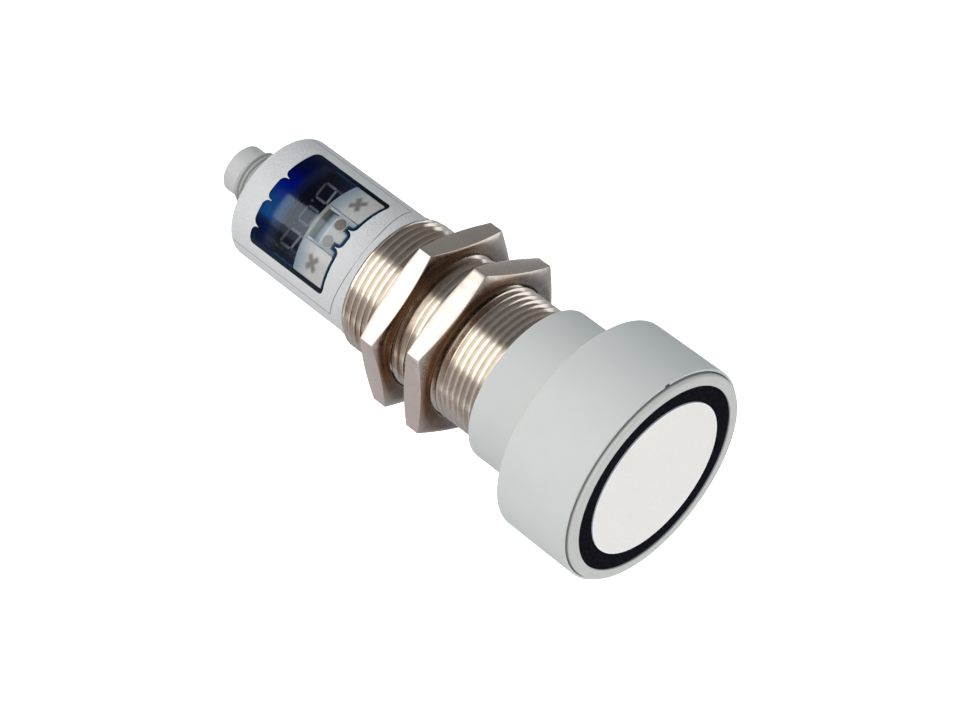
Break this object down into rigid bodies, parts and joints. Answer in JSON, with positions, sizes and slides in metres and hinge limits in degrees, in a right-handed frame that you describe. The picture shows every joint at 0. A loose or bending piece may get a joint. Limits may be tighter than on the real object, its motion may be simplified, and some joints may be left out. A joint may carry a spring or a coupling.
{
  "type": "ultrasonic distance sensor",
  "caption": "Barrel ultrasonic sensor with a wide sensing head, threaded metal sleeve with clamping nuts, display cap with push buttons and a round plug connector.",
  "frame": {"origin": "on the barrel axis, half-way between the inner faces of the two mounting nuts, where a panel is clamped", "axes": "+X along the barrel towards the sensing face, +Z square to the display and buttons"},
  "size_m": [0.1146, 0.0476, 0.0476],
  "materials": {
    "nickel": "nickel plated, satin",
    "head_plastic": "moulded, smooth matt, pale grey green",
    "ring_plastic": "moulded, matt, light warm grey",
    "foam": "closed cell foam, dull",
    "transducer_white": "filled resin, dull off white",
    "cup_metal": "drawn",
    "piezo_ceramic": "fired, silvered",
    "cap_plastic": "moulded, fine texture, light grey",
    "plug_plastic": "moulded, light warm grey",
    "window_blue": "polished, clear, tinted blue",
    "key_grey": "milky, light grey",
    "plate_white": "white, smooth",
    "lens_brown": "polished, tinted",
    "barrier_cream": "raw, cream",
    "display_dark": "dark, dull",
    "segment_grey": "milky, smooth",
    "inner_plastic": "moulded, dark grey",
    "seal_rubber": "dull black",
    "board_green": "solder mask, satin",
    "component_black": "moulded, dull",
    "plunger_black": "moulded, smooth",
    "capacitor_can": "drawn",
    "diode_clear": "clear resin",
    "contact_gold": "gold plated",
    "lead_copper": "tinned copper"
  },
  "bodies": {
    "sensor": {"backing_foam": "foam", "board_header": "inner_plastic", "board_holder_1": "inner_plastic", "board_holder_2": "inner_plastic", "connector_insert": "inner_plastic", "connector_seal": "seal_rubber", "connector_shell": "plug_plastic", "contact_pin_1": "contact_gold", "contact_pin_2": "contact_gold", "contact_pin_3": "contact_gold", "contact_pin_4": "contact_gold", "contact_pin_5": "contact_gold", "decoupling_ring": "foam", "digit_segments": "segment_grey", "display_board": "board_green", "display_cover": "cap_plastic", "display_module": "display_dark", "display_window": "window_blue", "front_ring": "ring_plastic", "head_housing": "head_plastic", "head_seal": "seal_rubber", "indicator_diode_1": "diode_clear", "indicator_diode_2": "diode_clear", "indicator_lens_1": "lens_brown", "indicator_lens_2": "lens_brown", "indicator_plate": "plate_white", "key_switch_1": "component_black", "key_switch_2": "component_black", "light_barrier": "barrier_cream", "main_board": "board_green", "matching_layer": "transducer_white", "microcontroller": "component_black", "piezo_disc": "piezo_ceramic", "pulse_transformer": "component_black", "rear_housing": "cap_plastic", "rear_seal": "seal_rubber", "retaining_plate": "inner_plastic", "storage_capacitor": "capacitor_can", "threaded_sleeve": "nickel", "transducer_cup": "cup_metal", "transducer_leads": "lead_copper"},
    "front_nut": {"mounting_nut_front": "nickel"},
    "rear_nut": {"mounting_nut_rear": "nickel"},
    "key_1": {"button_1": "key_grey", "switch_plunger_1": "plunger_black"},
    "key_2": {"button_2": "key_grey", "switch_plunger_2": "plunger_black"}
  },
  "joints": [
    {"name": "front_nut_travel", "type": "slide", "parent": "sensor", "child": "front_nut", "axis": [1, 0, 0], "range_m": [-0.003, 0.0115]},
    {"name": "rear_nut_travel", "type": "slide", "parent": "sensor", "child": "rear_nut", "axis": [1, 0, 0], "range_m": [-0.0134, 0.003]},
    {"name": "button_1_press", "type": "slide", "parent": "sensor", "child": "key_1", "axis": [0, 0, -1], "range_m": [0, 0.00035], "stiffness_N_per_m": 2500},
    {"name": "button_2_press", "type": "slide", "parent": "sensor", "child": "key_2", "axis": [0, 0, -1], "range_m": [0, 0.00035], "stiffness_N_per_m": 2500}
  ]
}
